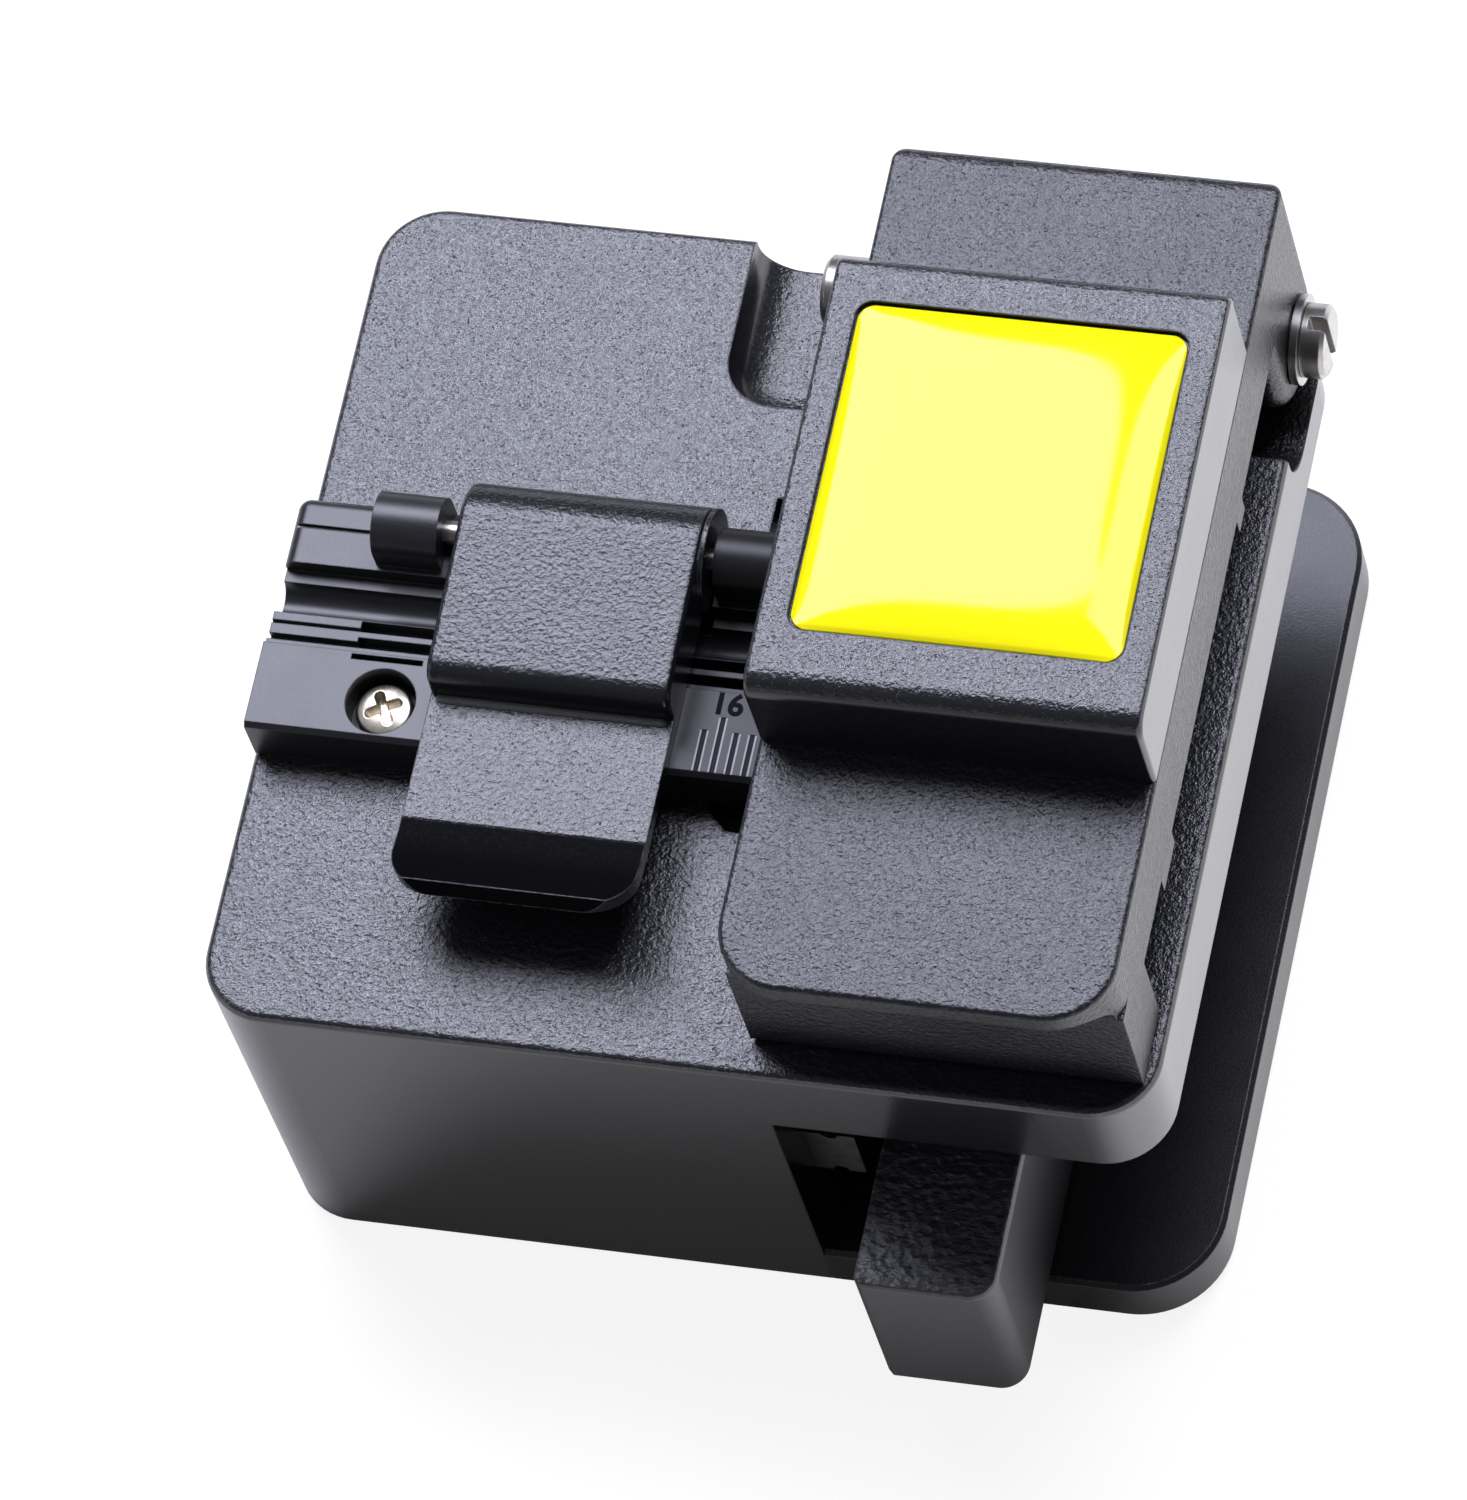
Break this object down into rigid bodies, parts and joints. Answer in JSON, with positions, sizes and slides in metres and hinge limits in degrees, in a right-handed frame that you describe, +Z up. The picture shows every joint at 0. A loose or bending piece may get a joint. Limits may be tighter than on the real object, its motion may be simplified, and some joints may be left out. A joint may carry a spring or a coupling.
{
  "type": "fibre cleaver",
  "caption": "Optical fibre cleaver: black block housing with a hinged lid, yellow label, fibre holder with a flip clamp, and a round blade on a hand-pushed slider under the platform.",
  "frame": {"origin": "under the middle of the cleaver's overall length and width, on the surface its feet stand on", "axes": "+X to the right across the platform, +Y to the back where the lid is hinged, +Z up"},
  "size_m": [0.0606, 0.0644, 0.0507],
  "materials": {
    "body_paint": "black textured paint with fine light speckle",
    "satin_black": "smooth satin black",
    "gloss_black": "smooth gloss black",
    "label_yellow": "clear domed resin over bright yellow",
    "bright_steel": "turned and ground",
    "screw_nickel": "nickel plated",
    "black_oxide": "black oxide",
    "magnet_nickel": "nickel plated",
    "clamp_rubber": "dull",
    "foot_rubber": "dull",
    "carbide": "ground carbide",
    "spring_wire": "drawn wire",
    "brass": "turned"
  },
  "bodies": {
    "housing": {"housing": "body_paint", "base_plate": "satin_black", "base_screws": "black_oxide", "foot_front_left": "foot_rubber", "foot_front_right": "foot_rubber", "foot_back_left": "foot_rubber", "foot_back_right": "foot_rubber", "linear_rail": "bright_steel", "rail_screws": "black_oxide", "lower_clamp_left": "satin_black", "lower_clamp_right": "satin_black", "lower_pad_left": "clamp_rubber", "lower_pad_right": "clamp_rubber", "lower_clamp_screws": "black_oxide", "holder_plate": "satin_black", "holder_screws": "screw_nickel", "holder_hinge_pin": "bright_steel", "holder_magnet": "magnet_nickel", "hinge_shaft": "bright_steel", "circlip_left": "bright_steel", "circlip_right": "bright_steel", "housing_magnet": "magnet_nickel"},
    "holder_clamp": {"holder_clamp": "satin_black", "clamp_pad": "clamp_rubber", "clamp_magnet": "magnet_nickel"},
    "lid": {"lid_lever": "gloss_black", "lid_cover": "body_paint", "label": "label_yellow", "upper_clamp_frame": "satin_black", "frame_screws": "black_oxide", "cover_screws": "black_oxide", "lid_magnet": "magnet_nickel", "spring_left": "spring_wire", "spring_right": "spring_wire", "spring_anvil": "spring_wire"},
    "left_block": {"pressure_block_left": "satin_black", "upper_pad_left": "clamp_rubber"},
    "right_block": {"pressure_block_right": "satin_black", "upper_pad_right": "clamp_rubber"},
    "anvil": {"anvil": "clamp_rubber"},
    "slider": {"slider_carriage": "satin_black", "guide_block": "bright_steel", "carriage_screws": "black_oxide", "blade_holder": "satin_black", "blade_holder_screws": "black_oxide", "blade_axle": "bright_steel"},
    "blade": {"blade": "carbide", "blade_hub": "brass"}
  },
  "joints": [
    {"name": "lid_hinge", "type": "hinge", "parent": "housing", "child": "lid", "pos_m": [0.0162, 0.0279, 0.0312], "axis": [-1, 0, 0], "range_deg": [0, 95]},
    {"name": "holder_clamp_hinge", "type": "hinge", "parent": "housing", "child": "holder_clamp", "pos_m": [-0.011, 0.007, 0.0348], "axis": [-1, 0, 0], "range_deg": [0, 110]},
    {"name": "slider_travel", "type": "slide", "parent": "housing", "child": "slider", "axis": [0, 1, 0], "range_m": [0, 0.014]},
    {"name": "blade_turn", "type": "hinge", "parent": "slider", "child": "blade", "pos_m": [0.01505, -0.0045, 0.0251], "axis": [1, 0, 0], "continuous": true},
    {"name": "left_block_press", "type": "slide", "parent": "lid", "child": "left_block", "axis": [0, 0, 1], "range_m": [0, 0.0008], "stiffness_N_per_m": 500, "springref_m": -0.0004, "deforming": ["spring_left"]},
    {"name": "right_block_press", "type": "slide", "parent": "lid", "child": "right_block", "axis": [0, 0, 1], "range_m": [0, 0.0008], "stiffness_N_per_m": 500, "springref_m": -0.0004, "deforming": ["spring_right"]},
    {"name": "anvil_press", "type": "slide", "parent": "lid", "child": "anvil", "axis": [0, 0, 1], "range_m": [0, 0.0008], "stiffness_N_per_m": 500, "springref_m": -0.0004, "deforming": ["spring_anvil"]}
  ]
}
